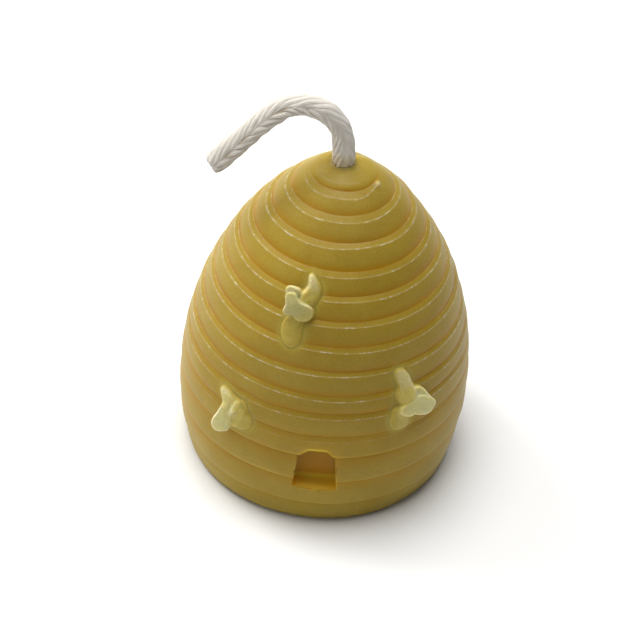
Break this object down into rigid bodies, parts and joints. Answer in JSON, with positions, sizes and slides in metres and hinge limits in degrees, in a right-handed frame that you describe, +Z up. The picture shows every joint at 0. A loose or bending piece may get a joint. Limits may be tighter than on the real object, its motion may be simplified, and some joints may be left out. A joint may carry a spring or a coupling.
{
  "type": "beeswax skep candle",
  "caption": "Egg-shaped cast wax candle coiled like a straw bee skep, with a doorway niche, raised wax bees and a braided wick bent over at the crown.",
  "frame": {"origin": "centre of the flat base, which the candle stands on", "axes": "+Z up along the wick; -Y out of the doorway; +X to the viewer's right when facing the doorway"},
  "size_m": [0.06, 0.0598, 0.0851],
  "materials": {
    "wax_body": "satin, slightly translucent beeswax with a pale bloom on the coil edges",
    "wax_pale": "thin translucent pale beeswax",
    "wick_cotton": "soft braided cotton, lightly waxed where it leaves the crown"
  },
  "bodies": {
    "root": {"skep_body": "wax_body", "bee_top": "wax_pale", "bee_left": "wax_pale", "bee_right": "wax_pale", "wick_core": "wick_cotton", "wick_tail": "wick_cotton"}
  },
  "joints": []
}
